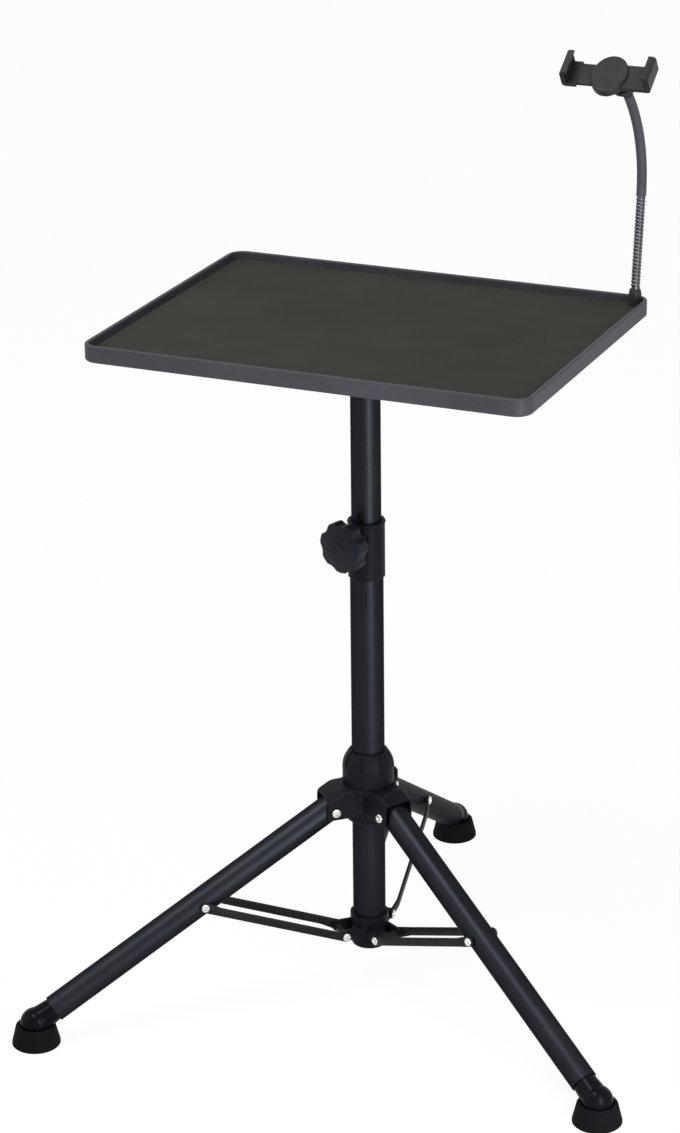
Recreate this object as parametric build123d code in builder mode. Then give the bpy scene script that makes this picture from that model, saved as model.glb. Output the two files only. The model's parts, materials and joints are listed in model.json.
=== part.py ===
# Portable tripod stand: a rimmed tray on a telescoping mast, with folding braced legs and a phone arm.
# Millimetres. Origin on the floor under the column axis, +Z up, tray front towards -Y, tray width along X.
import os
from math import asin, atan2, cos, degrees, hypot, radians, sin, sqrt

from build123d import *

os.makedirs("parts", exist_ok=True)

# Fits
tube_clearance = 0.3
pin_clearance = 0.05
seat_clearance = 0.05
side_clearance = 0.4
overlap = 1.0

# Tray
tray_width = 380.0
tray_depth = 292.0
tray_setback = 12.0
tray_top = 597.5
tray_height = 14.2
tray_recess = 7.0
tray_floor = 2.5
tray_wall = 3.6
tray_corner = 14.0
tray_edge = 1.2
tray_foot_edge = 2.0
tray_rib = 2.0
tray_rib_margin = 6.0
mat_thickness = 1.0
mat_inset = 1.5

# Flange and socket under the tray
flange_radius = 55.0
flange_thickness = 3.0
socket_wall = 3.0
socket_length = 38.0
gusset_count = 4
gusset_thickness = 3.0
gusset_margin = 8.0

# Mast and column
mast_radius = 12.5
mast_wall = 1.2
mast_inside = 295.0
column_wall = 1.2
column_bottom = 42.0
column_top = 425.7

# Clamp collar and knob
clamp_wall = 1.4
clamp_length = 50.0
clamp_cap = 4.0
clamp_flare = 0.8
clamp_lip_height = 5.5
clamp_edge = 0.7
boss_radius = 8.5
boss_reach = 24.0
boss_pad_radius = 12.0
boss_pad_reach = 17.5
knob_azimuth = -105.0
knob_drop = 15.5
knob_radius = 21.8
knob_thickness = 12.0
knob_lobes = 7
knob_scallop = 7.0
knob_scallop_depth = 3.0
knob_lobe_edge = 1.6
knob_side_run = (-0.2, 1.0)
knob_face_run = (-1.0, 0.1)
knob_gap = 0.6
knob_shoulder = 7.5
knob_step_radius = 14.5
knob_step = 0.8
knob_dome = 1.6
knob_boss = 6.0
knob_wall = 2.6
knob_rib = 1.6
knob_pocket = 6.5
screw_radius = 3.0
screw_depth = 8.0

# Sliding hub
hub_wall = 4.7
hub_pivot_height = 174.0
hub_rise = 19.0
hub_fall = 15.4
hub_shoulder_margin = 2.0
hub_shoulder = 5.0
arm_clearance = 0.6
arm_side = 2.5
arm_roof = 2.4
arm_round = 5.0
arm_reach = 7.5
arm_drop = 16.0
arm_fall = 7.7
arm_end_gap = 3.0
arm_roof_gap = 0.5
channel_depth = 40.0
tab_gap = 0.6
tab_radial = 3.2
tab_width = 9.0
tab_height = 8.0

# Lock ring
ring_wall = 7.7
ring_skirt = 14.0
ring_dome = 15.0
ring_lip = 1.6
ring_flutes = 8
ring_flute_width = 2.2
ring_flute_depth = 1.4
ring_flute_drop = 3.0
ring_flute_turn = 7.0

# Legs
leg_azimuths = {"left": -136.5, "right": -29.5, "back": 97.5}
leg_angle = 59.8
leg_radius = 11.4
leg_wall = 1.2
leg_overhang = 5.0
leg_pin_radius = 2.5

# Ankles and feet
ball_height = 19.5
ball_radius = 13.0
ball_clearance = 0.3
ankle_radius = 8.2
ankle_root_radius = 9.0
ankle_length = 19.0
ankle_plug = 16.0
foot_radius = 20.4
foot_rim = 2.5
foot_cup_radius = 16.8
foot_cup_height = 17.0
foot_edge = 0.8
foot_recess_radius = 12.0
foot_recess = 1.0

# Spreader collar and struts
collar_wall = 1.5
collar_floor = 3.0
collar_length = 30.0
collar_rim = 1.0
collar_rim_height = 5.5
collar_round = 2.6
ear_reach = 10.5
ear_rise = 15.5
ear_round = 5.0
ear_thickness = 2.4
strut_pivot_distance = 136.0
bar_height = 9.0
bar_thickness = 2.0
strut_pin_radius = 2.0

# Rivet heads
head_height = 1.6
head_edge = 1.3
leg_head_radius = 4.0
strut_head_radius = 3.6

# Flexible neck
neck_base_radius = 5.3
neck_base_top_radius = 4.5
neck_base_step = 11.0
neck_base_height = 15.0
neck_base_gap = 0.4
neck_corner_turn = 50.0
neck_azimuth = -100.0
neck_lean = 4.8
rib_count = 25
rib_pitch = 3.1
rib_groove = 0.8
rib_radius = 4.1
rib_core_radius = 3.4
sheath_radius = 4.1
sheath_straight = 2.5
sheath_bend_radius = 124.0
sheath_bend = 42.9
stem_radius = 3.5
stem_length = 5.0
holder_ball_radius = 6.0

# Phone holder
holder_tilt = 55.0
phone_gap = 67.0
disc_offset = 10.0
disc_half_width = 15.0
disc_half_height = 19.0
disc_edge = 2.0
body_back = 6.0
body_front = 14.0
cup_radius = 8.5
cup_back = 2.5
wing_height = 24.0
wing_back = 7.5
wing_thickness = 3.6
claw_thickness = 3.8
claw_front = 24.0
claw_lip = 2.3
claw_round = 3.0
tongue_height = 21.0
tongue_thickness = 2.4
tongue_grip = 12.0
jaw_closing = 10.0
jaw_gap = 0.5
pad_thickness = 1.5

# Sizes that follow from the ones above
column_radius = mast_radius + tube_clearance + column_wall
mast_bottom = column_top - mast_inside
floor_top = tray_top - tray_recess
floor_bottom = floor_top - tray_floor
tray_bottom = tray_top - tray_height
clamp_radius = column_radius + clamp_wall
clamp_top = column_top + clamp_cap
clamp_bottom = clamp_top - clamp_length
knob_back = boss_reach + knob_gap
knob_face = knob_back + knob_thickness
leg_end_corner = hypot(leg_overhang, leg_radius)
hub_bore = column_radius + tube_clearance
hub_radius = hub_bore + hub_wall
hub_top = hub_pivot_height + hub_rise
hub_bottom = hub_pivot_height - hub_fall
hub_pivot_radius = hub_radius + arm_end_gap + leg_end_corner
roof_under = leg_end_corner + arm_roof_gap
roof_over = roof_under + arm_roof
arm_inner = leg_radius + arm_clearance
arm_outer = arm_inner + arm_side
ring_radius = hub_bore + ring_wall
ring_bottom = hub_top + tube_clearance
leg_length = (hub_pivot_height - ball_height) / cos(radians(leg_angle))
foot_reach = hub_pivot_radius + leg_length * sin(radians(leg_angle))
collar_radius = column_radius + seat_clearance + collar_wall
collar_bottom = column_bottom - collar_floor
collar_top = collar_bottom + collar_length
collar_pivot_radius = collar_radius + ear_reach
collar_pivot_height = collar_bottom + ear_rise
bar_inner = leg_radius + side_clearance
bar_outer = bar_inner + bar_thickness
strut_end_radius = hub_pivot_radius + strut_pivot_distance * sin(radians(leg_angle))
strut_end_height = hub_pivot_height - strut_pivot_distance * cos(radians(leg_angle))
rib_length = rib_count * rib_pitch
neck_offset = tray_corner - tray_wall - neck_base_gap - neck_base_radius
neck_x = tray_width / 2 - tray_corner + neck_offset * cos(radians(neck_corner_turn))
neck_y = tray_setback + tray_depth / 2 - tray_corner + neck_offset * sin(radians(neck_corner_turn))
claw_inner = phone_gap / 2
tray_middle = (0, tray_setback)


def finish(piece, name):
    piece.part.label = name
    export_step(piece.part, f"parts/{name}.step")


def radial_plane(azimuth):
    # Upright plane through the column axis: x runs outwards and y upwards.
    turn = radians(azimuth)
    return Plane(origin=(0, 0, 0), x_dir=(cos(turn), sin(turn), 0), z_dir=(sin(turn), -cos(turn), 0))


def axis_profile(plane):
    # Plane through another plane's axis: y runs along that axis and x across it.
    return Plane(origin=plane.origin, x_dir=plane.x_dir, z_dir=plane.x_dir.cross(plane.z_dir))


def on_leg(along, across):
    # Reach and height of a point measured along the leg from its pivot and across it.
    slope = radians(leg_angle)
    reach = hub_pivot_radius + along * sin(slope) + across * cos(slope)
    height = hub_pivot_height - along * cos(slope) + across * sin(slope)
    return reach, height


def leg_section(frame, along):
    # Plane square to the leg: x runs sideways, y under the leg and z down the leg.
    here = frame.from_local_coords((*on_leg(along, 0), 0))
    ahead = frame.from_local_coords((*on_leg(along + 1, 0), 0))
    return Plane(origin=here, x_dir=frame.z_dir, z_dir=ahead - here)


# Mast with the tray on top
with BuildPart() as mast_tube:
    with BuildSketch(Plane.XY.offset(mast_bottom)):
        Circle(mast_radius)
        Circle(mast_radius - mast_wall, mode=Mode.SUBTRACT)
    extrude(amount=floor_bottom - mast_bottom)
finish(mast_tube, "mast_tube")

with BuildPart() as tray_flange:
    socket_radius = mast_radius + seat_clearance + socket_wall
    plate_bottom = floor_bottom - flange_thickness
    with BuildSketch(Plane.XY.offset(floor_bottom)):
        Circle(flange_radius)
    extrude(amount=-flange_thickness)
    with BuildSketch(Plane.XY.offset(floor_bottom)):
        Circle(socket_radius)
    extrude(amount=-socket_length)
    for index in range(gusset_count):
        with BuildSketch(radial_plane((index + 0.5) * 360 / gusset_count)):
            with BuildLine():
                Polyline(
                    (mast_radius, plate_bottom),
                    (flange_radius - gusset_margin, plate_bottom),
                    (socket_radius, floor_bottom - socket_length + gusset_margin),
                    (mast_radius, floor_bottom - socket_length + gusset_margin),
                    close=True,
                )
            make_face()
        extrude(amount=gusset_thickness / 2, both=True)
    with BuildSketch(Plane.XY.offset(floor_bottom)):
        Circle(mast_radius + seat_clearance)
    extrude(amount=-socket_length, mode=Mode.SUBTRACT)
finish(tray_flange, "tray_flange")

with BuildPart() as tray:
    inner_width = tray_width - 2 * tray_wall
    inner_depth = tray_depth - 2 * tray_wall
    inner_corner = tray_corner - tray_wall
    rib_offset = flange_radius + tray_rib_margin
    with BuildSketch(Plane.XY.offset(tray_bottom)):
        with Locations(tray_middle):
            RectangleRounded(tray_width, tray_depth, tray_corner)
    extrude(amount=tray_height)
    fillet(tray.edges().group_by(Axis.Z)[0], tray_foot_edge)
    with BuildSketch(Plane.XY.offset(floor_top)):
        with Locations(tray_middle):
            RectangleRounded(inner_width, inner_depth, inner_corner)
    extrude(amount=tray_recess, mode=Mode.SUBTRACT)
    fillet(tray.edges().group_by(Axis.Z)[-1], tray_edge)
    with BuildSketch(Plane.XY.offset(tray_bottom)):
        with Locations(tray_middle):
            RectangleRounded(inner_width, inner_depth, inner_corner)
        with Locations((0, rib_offset), (0, -rib_offset)):
            Rectangle(tray_width, tray_rib, mode=Mode.SUBTRACT)
        with Locations((rib_offset, tray_setback), (-rib_offset, tray_setback)):
            Rectangle(tray_rib, tray_depth, mode=Mode.SUBTRACT)
    extrude(amount=floor_bottom - tray_bottom, mode=Mode.SUBTRACT)
finish(tray, "tray")

with BuildPart() as tray_mat:
    mat_border = tray_wall + mat_inset
    mat_width = tray_width - 2 * mat_border
    mat_depth = tray_depth - 2 * mat_border
    with BuildSketch(Plane.XY.offset(floor_top)):
        with Locations(tray_middle):
            RectangleRounded(mat_width, mat_depth, tray_corner - mat_border)
        with Locations((neck_x, neck_y)):
            Circle(neck_base_radius + tube_clearance, mode=Mode.SUBTRACT)
    extrude(amount=mat_thickness)
finish(tray_mat, "tray_mat")

# Column with the clamp collar at its top
knob_turn = radians(knob_azimuth)
knob_plane = Plane(
    origin=(0, 0, clamp_top - knob_drop), x_dir=(0, 0, 1), z_dir=(cos(knob_turn), sin(knob_turn), 0)
)

with BuildPart() as column_tube:
    with BuildSketch(Plane.XY.offset(column_bottom)):
        Circle(column_radius)
        Circle(column_radius - column_wall, mode=Mode.SUBTRACT)
    extrude(amount=column_top - column_bottom)
    with BuildSketch(knob_plane):
        Circle(screw_radius + pin_clearance)
    extrude(amount=boss_reach, mode=Mode.SUBTRACT)
finish(column_tube, "column_tube")

with BuildPart() as clamp_collar:
    with BuildSketch(Plane.XY.offset(clamp_bottom)):
        Circle(clamp_radius)
    extrude(amount=clamp_length)
    chamfer(clamp_collar.edges().group_by(Axis.Z)[0], clamp_edge)
    with BuildSketch(Plane.XY.offset(clamp_top - clamp_lip_height)):
        Circle(clamp_radius + clamp_flare)
    extrude(amount=clamp_lip_height)
    fillet(clamp_collar.edges().group_by(Axis.Z)[-1], clamp_edge)
    with BuildSketch(knob_plane):
        Circle(boss_pad_radius)
    extrude(amount=boss_pad_reach)
    with BuildSketch(knob_plane):
        Circle(boss_radius)
    extrude(amount=boss_reach)
    with BuildSketch(Plane.XY.offset(clamp_bottom)):
        Circle(column_radius + seat_clearance)
    extrude(amount=column_top - clamp_bottom, mode=Mode.SUBTRACT)
    with BuildSketch(Plane.XY.offset(column_top)):
        Circle(mast_radius + tube_clearance)
    extrude(amount=clamp_cap, mode=Mode.SUBTRACT)
    with BuildSketch(knob_plane):
        Circle(screw_radius + pin_clearance)
    extrude(amount=boss_reach, mode=Mode.SUBTRACT)
finish(clamp_collar, "clamp_collar")

# Scalloped clamp knob with a domed face and a ribbed hollow behind
with BuildPart() as clamp_knob:
    dome_radius = (knob_step_radius**2 + knob_dome**2) / (2 * knob_dome)
    dome_turn = degrees(asin(knob_step_radius / dome_radius))
    face_top = knob_face + knob_step + knob_dome
    pocket_radius = knob_radius - knob_scallop_depth - knob_wall
    with BuildSketch(knob_plane.offset(knob_back)) as knob_outline:
        Circle(knob_radius)
        with PolarLocations(knob_radius + knob_scallop - knob_scallop_depth, knob_lobes):
            Circle(knob_scallop, mode=Mode.SUBTRACT)
        fillet(knob_outline.vertices(), knob_lobe_edge)
    extrude(amount=face_top - knob_back)
    with BuildSketch(axis_profile(knob_plane)):
        with BuildLine():
            Polyline(
                (0, face_top),
                (0, knob_back),
                (knob_radius + overlap, knob_back),
                (knob_radius + overlap, knob_back + knob_shoulder),
            )
            Spline(
                (knob_radius + overlap, knob_back + knob_shoulder),
                (knob_step_radius, knob_face),
                tangents=(knob_side_run, knob_face_run),
            )
            Line((knob_step_radius, knob_face), (knob_step_radius, knob_face + knob_step))
            CenterArc((0, face_top - dome_radius), dome_radius, 90 - dome_turn, dome_turn)
        make_face()
    revolve(axis=Axis(knob_plane.origin, knob_plane.z_dir), mode=Mode.INTERSECT)
    with BuildSketch(knob_plane.offset(knob_back)):
        Circle(pocket_radius)
        Circle(knob_boss, mode=Mode.SUBTRACT)
        with PolarLocations((pocket_radius + knob_boss) / 2, knob_lobes):
            Rectangle(pocket_radius, knob_rib, mode=Mode.SUBTRACT)
    extrude(amount=knob_pocket, mode=Mode.SUBTRACT)
    with BuildSketch(knob_plane.offset(knob_back)):
        Circle(screw_radius + seat_clearance)
    extrude(amount=screw_depth, mode=Mode.SUBTRACT)
finish(clamp_knob, "clamp_knob")

with BuildPart() as clamp_screw:
    screw_tip = mast_radius + tube_clearance
    with BuildSketch(knob_plane.offset(screw_tip)):
        Circle(screw_radius)
    extrude(amount=knob_back + screw_depth - screw_tip)
finish(clamp_screw, "clamp_screw")

# Spreader collar: a cup on the column's foot with a pair of ears for each leg
with BuildPart() as spreader_collar:
    with BuildSketch(Plane.XY.offset(collar_bottom)):
        Circle(collar_radius)
    extrude(amount=collar_length)
    fillet(spreader_collar.edges().group_by(Axis.Z)[0], collar_round)
    with BuildSketch(Plane.XY.offset(collar_top - collar_rim_height)):
        Circle(collar_radius + collar_rim)
    extrude(amount=collar_rim_height)
    for azimuth in leg_azimuths.values():
        for side in (-1, 1):
            with BuildSketch(radial_plane(azimuth).offset(side * leg_radius)):
                with Locations((collar_pivot_radius, collar_pivot_height)):
                    Circle(ear_round)
                    Rectangle(collar_pivot_radius, 2 * ear_round, align=(Align.MAX, Align.CENTER))
            extrude(amount=-side * ear_thickness)
        with BuildSketch(radial_plane(azimuth)):
            with Locations((collar_pivot_radius, collar_pivot_height)):
                Circle(strut_pin_radius + pin_clearance)
        extrude(amount=bar_outer, both=True, mode=Mode.SUBTRACT)
    with BuildSketch(Plane.XY.offset(column_bottom)):
        Circle(column_radius + seat_clearance)
    extrude(amount=collar_length, mode=Mode.SUBTRACT)
finish(spreader_collar, "spreader_collar")

# Sliding hub: a barrel with an inverted channel over the top of each leg
with BuildPart() as hub:
    arm_start = 2 * (arm_reach + arm_drop)
    arm_length = arm_start + hub_pivot_radius / sin(radians(leg_angle))
    for azimuth in leg_azimuths.values():
        frame = radial_plane(azimuth)
        with BuildSketch(leg_section(frame, arm_start)) as arm_outline:
            with Locations((0, -roof_over)):
                Rectangle(2 * arm_outer, roof_over + arm_drop, align=(Align.CENTER, Align.MIN))
            fillet(arm_outline.vertices().group_by(Axis.Y)[0], arm_round)
        extrude(amount=-arm_length)
        with BuildSketch(frame):
            with Locations((hub_pivot_radius + arm_reach, hub_pivot_height)):
                Rectangle(arm_length, 2 * arm_length, align=(Align.MIN, Align.CENTER))
        extrude(amount=arm_outer + overlap, both=True, mode=Mode.SUBTRACT)
    with BuildSketch(Plane.XY.offset(hub_pivot_height - arm_fall)):
        Circle(hub_pivot_radius + arm_length)
    extrude(amount=-arm_length, mode=Mode.SUBTRACT)
    for azimuth in leg_azimuths.values():
        frame = radial_plane(azimuth)
        with BuildSketch(leg_section(frame, arm_start)):
            with Locations((0, -roof_under)):
                Rectangle(2 * arm_inner, channel_depth, align=(Align.CENTER, Align.MIN))
        extrude(amount=-arm_start - roof_under, mode=Mode.SUBTRACT)
        with BuildSketch(frame):
            with Locations((hub_pivot_radius, hub_pivot_height)):
                Circle(leg_pin_radius + pin_clearance)
        extrude(amount=arm_outer, both=True, mode=Mode.SUBTRACT)
    with BuildSketch(Plane.XY.offset(hub_bottom)):
        Circle(hub_radius)
    extrude(amount=hub_rise + hub_fall)
    with BuildSketch(Plane.XY.offset(hub_top)):
        Circle(ring_radius + hub_shoulder_margin)
    extrude(amount=-hub_shoulder)
    with BuildSketch(Plane.XY.offset(hub_top)):
        Circle(hub_pivot_radius + arm_length)
    extrude(amount=arm_length, mode=Mode.SUBTRACT)
    with BuildSketch(radial_plane(leg_azimuths["left"] + 180)):
        with Locations((ring_radius + tab_gap, hub_top - hub_shoulder)):
            Rectangle(tab_radial, hub_shoulder + tab_height, align=Align.MIN)
    extrude(amount=tab_width / 2, both=True)
    with BuildSketch(Plane.XY.offset(hub_top)):
        Circle(hub_bore)
    extrude(amount=-2 * (hub_rise + hub_fall), mode=Mode.SUBTRACT)
finish(hub, "hub")

# Bell-shaped lock ring with flutes running down its dome
with BuildPart() as lock_ring:
    lip_radius = hub_bore + ring_lip
    dome_base = ring_bottom + ring_skirt
    dome_middle = dome_base + ring_dome / 2
    ring_top = dome_base + ring_dome
    with BuildSketch(Plane.XZ):
        with BuildLine():
            Polyline(
                (lip_radius, ring_top),
                (hub_bore, ring_top),
                (hub_bore, ring_bottom),
                (ring_radius, ring_bottom),
                (ring_radius, dome_base),
            )
            Bezier((ring_radius, dome_base), (ring_radius, dome_middle), (lip_radius, ring_top))
        make_face()
    revolve(axis=Axis.Z)
    for index in range(ring_flutes):
        with BuildSketch(radial_plane(ring_flute_turn + index * 360 / ring_flutes)):
            with BuildLine():
                Bezier(
                    (ring_radius, dome_base - ring_flute_drop),
                    (ring_radius - ring_flute_depth, dome_middle),
                    (lip_radius - ring_flute_depth / 2, ring_top),
                )
                Polyline(
                    (lip_radius - ring_flute_depth / 2, ring_top),
                    (ring_radius, ring_top),
                    (ring_radius, dome_base - ring_flute_drop),
                )
            make_face()
        extrude(amount=ring_flute_width / 2, both=True, mode=Mode.SUBTRACT)
finish(lock_ring, "lock_ring")

# Legs, ankles, feet and struts
for side_name, azimuth in leg_azimuths.items():
    frame = radial_plane(azimuth)
    hub_pivot = (hub_pivot_radius, hub_pivot_height)

    with BuildPart() as leg_tube:
        with BuildSketch(leg_section(frame, -leg_overhang)):
            Circle(leg_radius)
            Circle(leg_radius - leg_wall, mode=Mode.SUBTRACT)
        extrude(amount=leg_overhang + leg_length - ankle_length)
        with BuildSketch(frame):
            with Locations(hub_pivot):
                Circle(leg_pin_radius + pin_clearance)
        extrude(amount=leg_radius, both=True, mode=Mode.SUBTRACT)
    finish(leg_tube, f"leg_tube_{side_name}")

    with BuildPart() as leg_rivet:
        head_seat = arm_outer + tube_clearance
        for side in (-1, 1):
            with BuildSketch(frame.offset(side * head_seat)):
                with Locations(hub_pivot):
                    Circle(leg_head_radius)
            extrude(amount=side * head_height)
            fillet(leg_rivet.edges().sort_by(Axis(frame.origin, frame.z_dir * side))[-1], head_edge)
        with BuildSketch(frame):
            with Locations(hub_pivot):
                Circle(leg_pin_radius)
        extrude(amount=head_seat, both=True)
    finish(leg_rivet, f"leg_rivet_{side_name}")

    with BuildPart() as ankle:
        ball_plane = leg_section(frame, leg_length)
        ankle_angle = asin(ankle_radius / ball_radius)
        plug_radius = leg_radius - leg_wall - seat_clearance
        with BuildSketch(axis_profile(ball_plane)):
            with BuildLine():
                CenterArc((0, 0), ball_radius, 90, -180 + degrees(ankle_angle))
                Polyline(
                    (ankle_radius, -ball_radius * cos(ankle_angle)),
                    (ankle_root_radius, -ankle_length),
                    (plug_radius, -ankle_length),
                    (plug_radius, -ankle_length - ankle_plug),
                    (0, -ankle_length - ankle_plug),
                    (0, ball_radius),
                )
            make_face()
        revolve(axis=Axis(ball_plane.origin, ball_plane.z_dir))
    finish(ankle, f"ankle_{side_name}")

    with BuildPart() as foot:
        socket = ball_radius + ball_clearance
        cup_half = sqrt(socket**2 - (ball_height - foot_cup_height) ** 2)
        cup_turn = degrees(atan2(foot_cup_height - ball_height, cup_half))
        foot_place = frame.from_local_coords((foot_reach, 0, 0))
        foot_plane = Plane(origin=foot_place, x_dir=frame.x_dir, z_dir=frame.z_dir)
        with BuildSketch(foot_plane):
            with BuildLine():
                Polyline(
                    (0, ball_height - socket),
                    (0, foot_recess),
                    (foot_recess_radius, foot_recess),
                    (foot_recess_radius, 0),
                    (foot_radius - foot_edge, 0),
                    (foot_radius, foot_edge),
                    (foot_radius, foot_rim),
                    (foot_cup_radius, foot_cup_height),
                    (cup_half, foot_cup_height),
                )
                CenterArc((0, ball_height), socket, cup_turn, -90 - cup_turn)
            make_face()
        revolve(axis=Axis(foot_plane.origin, (0, 0, 1)))
    finish(foot, f"foot_{side_name}")

    run = strut_end_radius - collar_pivot_radius
    climb = strut_end_height - collar_pivot_height
    collar_pivot = (collar_pivot_radius, collar_pivot_height)
    leg_pivot = (strut_end_radius, strut_end_height)
    middle = (collar_pivot_radius + run / 2, collar_pivot_height + climb / 2)

    with BuildPart() as strut_bars:
        for side in (-1, 1):
            with BuildSketch(frame.offset(side * bar_inner)):
                with Locations(middle):
                    SlotCenterToCenter(hypot(run, climb), bar_height, rotation=degrees(atan2(climb, run)))
                with Locations(collar_pivot, leg_pivot):
                    Circle(strut_pin_radius + pin_clearance, mode=Mode.SUBTRACT)
            extrude(amount=side * bar_thickness)
    finish(strut_bars, f"strut_bars_{side_name}")

    with BuildPart() as strut_rivets:
        for side in (-1, 1):
            with BuildSketch(frame.offset(side * bar_outer)):
                with Locations(collar_pivot, leg_pivot):
                    Circle(strut_head_radius)
            extrude(amount=side * head_height)
            fillet(strut_rivets.edges().group_by(Axis(frame.origin, frame.z_dir * side))[-1], head_edge)
            with BuildSketch(frame.offset(side * bar_inner)):
                with Locations(leg_pivot):
                    Circle(strut_pin_radius)
            extrude(amount=side * bar_thickness)
        with BuildSketch(frame):
            with Locations(collar_pivot):
                Circle(strut_pin_radius)
        extrude(amount=bar_outer, both=True)
    finish(strut_rivets, f"strut_rivets_{side_name}")

# Flexible neck standing in the back right corner of the tray
neck_turn = radians(neck_azimuth)
lean = radians(neck_lean)
upright = Vector(0, 0, 1)
neck_forward = Vector(cos(neck_turn), sin(neck_turn), 0)
neck_across = neck_forward.cross(upright)
neck_along = upright * cos(lean) - neck_forward * sin(lean)
neck_ahead = neck_forward * cos(lean) + upright * sin(lean)
neck_start = Vector(neck_x, neck_y, floor_top + neck_base_height)
neck_plane = Plane(origin=neck_start, x_dir=neck_across, z_dir=neck_along)

with BuildPart() as neck_base:
    with BuildSketch(Plane(origin=(neck_x, neck_y, floor_top))):
        Circle(neck_base_radius)
    extrude(amount=neck_base_step)
    with BuildSketch(Plane(origin=(neck_x, neck_y, floor_top + neck_base_step))):
        Circle(neck_base_radius)
    with BuildSketch(neck_plane):
        Circle(neck_base_top_radius)
    loft()
finish(neck_base, "neck_base")

with BuildPart() as neck_ribbed:
    flank = (rib_radius - rib_core_radius) / 2
    with BuildSketch(axis_profile(neck_plane)):
        with BuildLine():
            outline = [(0, 0)]
            for index in range(rib_count):
                low = index * rib_pitch
                outline += [(rib_core_radius, low), (rib_core_radius, low + rib_groove)]
                outline += [(rib_radius, low + rib_groove + flank), (rib_radius, low + rib_pitch - flank)]
            outline += [(rib_core_radius, rib_length), (0, rib_length)]
            Polyline(outline, close=True)
        make_face()
    revolve(axis=Axis(neck_plane.origin, neck_plane.z_dir))
finish(neck_ribbed, "neck_ribbed")

sheath_start = neck_start + neck_along * rib_length
bend_start = sheath_start + neck_along * sheath_straight


def on_bend(turn):
    ahead = neck_ahead * (sheath_bend_radius * (1 - cos(turn)))
    return bend_start + ahead + neck_along * (sheath_bend_radius * sin(turn))


bend = radians(sheath_bend)
bend_end = on_bend(bend)
tip_along = neck_along * cos(bend) + neck_ahead * sin(bend)
tip_plane = Plane(origin=bend_end, x_dir=neck_across, z_dir=tip_along)

with BuildPart() as neck_sheath:
    with BuildLine():
        Line(sheath_start, bend_start)
        ThreePointArc(bend_start, on_bend(bend / 2), bend_end)
    with BuildSketch(neck_plane.offset(rib_length)):
        Circle(sheath_radius)
    sweep()
finish(neck_sheath, "neck_sheath")

# Ball joint and phone holder at the end of the neck
ball_centre = bend_end + tip_along * (stem_length + holder_ball_radius)
with BuildPart() as holder_ball:
    with BuildSketch(tip_plane):
        Circle(sheath_radius)
    with BuildSketch(tip_plane.offset(stem_length)):
        Circle(stem_radius)
    loft()
    with BuildSketch(tip_plane.offset(stem_length)):
        Circle(stem_radius)
    extrude(amount=holder_ball_radius)
    with Locations(ball_centre):
        Sphere(holder_ball_radius)
finish(holder_ball, "holder_ball")

tilt = radians(holder_tilt)
holder_plane = Plane(origin=ball_centre, x_dir=(1, 0, 0), z_dir=(0, -cos(tilt), sin(tilt)))
disc_centre = ball_centre - holder_plane.x_dir * disc_offset
disc_plane = Plane(origin=disc_centre, x_dir=holder_plane.x_dir, z_dir=holder_plane.z_dir)
jaw_plane = Plane(origin=disc_centre, x_dir=holder_plane.x_dir, z_dir=-holder_plane.y_dir)
wing_front = wing_back + wing_thickness
claw_outer = claw_inner + claw_thickness
tongue_back = wing_back + (wing_thickness - tongue_thickness) / 2
tongue_end = tongue_grip - disc_half_width
slot_end = tongue_end + jaw_closing + jaw_gap
slot_length = slot_end + 2 * disc_half_width


def claw_outline(root, side):
    # Wing and hooked claw seen along the jaws' edge, from the wing's root outwards.
    hook = side * (claw_inner - claw_lip)
    return [
        (side * root, wing_back),
        (side * claw_outer, wing_back),
        (side * claw_outer, claw_front),
        (hook, claw_front),
        (hook, claw_front - claw_lip),
        (side * claw_inner, claw_front - claw_lip),
        (side * claw_inner, wing_front),
        (side * root, wing_front),
    ]


with BuildPart() as holder_body:
    with BuildSketch(disc_plane.offset(body_back)):
        Ellipse(disc_half_width, disc_half_height)
    extrude(amount=body_front - body_back)
    fillet(holder_body.edges().filter_by(GeomType.ELLIPSE), disc_edge)
    with BuildSketch(jaw_plane) as right_claw:
        with BuildLine():
            Polyline(claw_outline(disc_half_width / 2, 1), close=True)
        make_face()
        fillet(right_claw.vertices().group_by(Axis.X)[-1], claw_round)
    extrude(amount=wing_height / 2, both=True)
    with BuildSketch(holder_plane.offset(-cup_back)):
        Circle(cup_radius)
    extrude(amount=wing_back + cup_back)
    with BuildSketch(disc_plane.offset(tongue_back - tube_clearance)):
        with Locations((slot_end, 0)):
            Rectangle(slot_length, tongue_height + 2 * tube_clearance, align=(Align.MAX, Align.CENTER))
    extrude(amount=tongue_thickness + 2 * tube_clearance, mode=Mode.SUBTRACT)
    with Locations(ball_centre):
        Sphere(holder_ball_radius + ball_clearance, mode=Mode.SUBTRACT)
finish(holder_body, "holder_body")

with BuildPart() as holder_jaw:
    wing_root = disc_half_width + jaw_closing + jaw_gap
    with BuildSketch(jaw_plane) as left_claw:
        with BuildLine():
            Polyline(claw_outline(wing_root, -1), close=True)
        make_face()
        fillet(left_claw.vertices().group_by(Axis.X)[0], claw_round)
    extrude(amount=wing_height / 2, both=True)
    with BuildSketch(disc_plane.offset(tongue_back)):
        with Locations((tongue_end, 0)):
            Rectangle(wing_root + tongue_end + overlap, tongue_height, align=(Align.MAX, Align.CENTER))
    extrude(amount=tongue_thickness)
finish(holder_jaw, "holder_jaw")

for side, pad_name in ((1, "holder_pad_right"), (-1, "holder_pad_left")):
    with BuildPart() as holder_pad:
        with BuildSketch(disc_plane.offset(wing_front)):
            with Locations((side * (claw_inner - pad_thickness / 2), 0)):
                Rectangle(pad_thickness, wing_height)
        extrude(amount=claw_front - claw_lip - wing_front)
    finish(holder_pad, pad_name)
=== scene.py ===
import json
import math

import bpy
from mathutils import Matrix, Vector


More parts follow.
